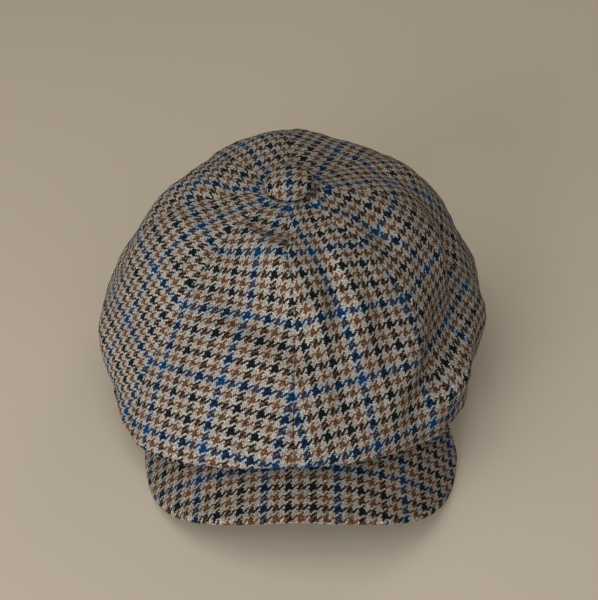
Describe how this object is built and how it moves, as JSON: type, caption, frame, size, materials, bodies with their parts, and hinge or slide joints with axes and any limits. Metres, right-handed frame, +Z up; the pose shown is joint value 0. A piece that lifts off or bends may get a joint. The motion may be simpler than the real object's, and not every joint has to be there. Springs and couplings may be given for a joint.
{
  "type": "baker boy cap",
  "caption": "Soft panelled baker boy cap in checked tweed with a covered button on top and an arched peak, lying on a table as set down.",
  "frame": {"origin": "on the table under the middle of the cap's outline", "axes": "-Y to the front of the peak, +X to the right as seen from the front of the picture, +Z up from the table"},
  "size_m": [0.244, 0.2986, 0.1514],
  "materials": {
    "crown_tweed": "woollen twill with a small check of dark, brown and pale threads and a blue overcheck",
    "button_tweed": "the same woollen check drawn over a domed button",
    "peak_tweed": "the same woollen check over a stiff board",
    "band_cloth": "plain dark close-woven tape"
  },
  "bodies": {
    "root": {"crown_panel_1": "crown_tweed", "crown_panel_2": "crown_tweed", "crown_panel_3": "crown_tweed", "crown_panel_4": "crown_tweed", "crown_panel_5": "crown_tweed", "crown_panel_6": "crown_tweed", "crown_panel_7": "crown_tweed", "crown_panel_8": "crown_tweed", "button": "button_tweed", "peak": "peak_tweed", "band": "band_cloth"}
  },
  "joints": []
}
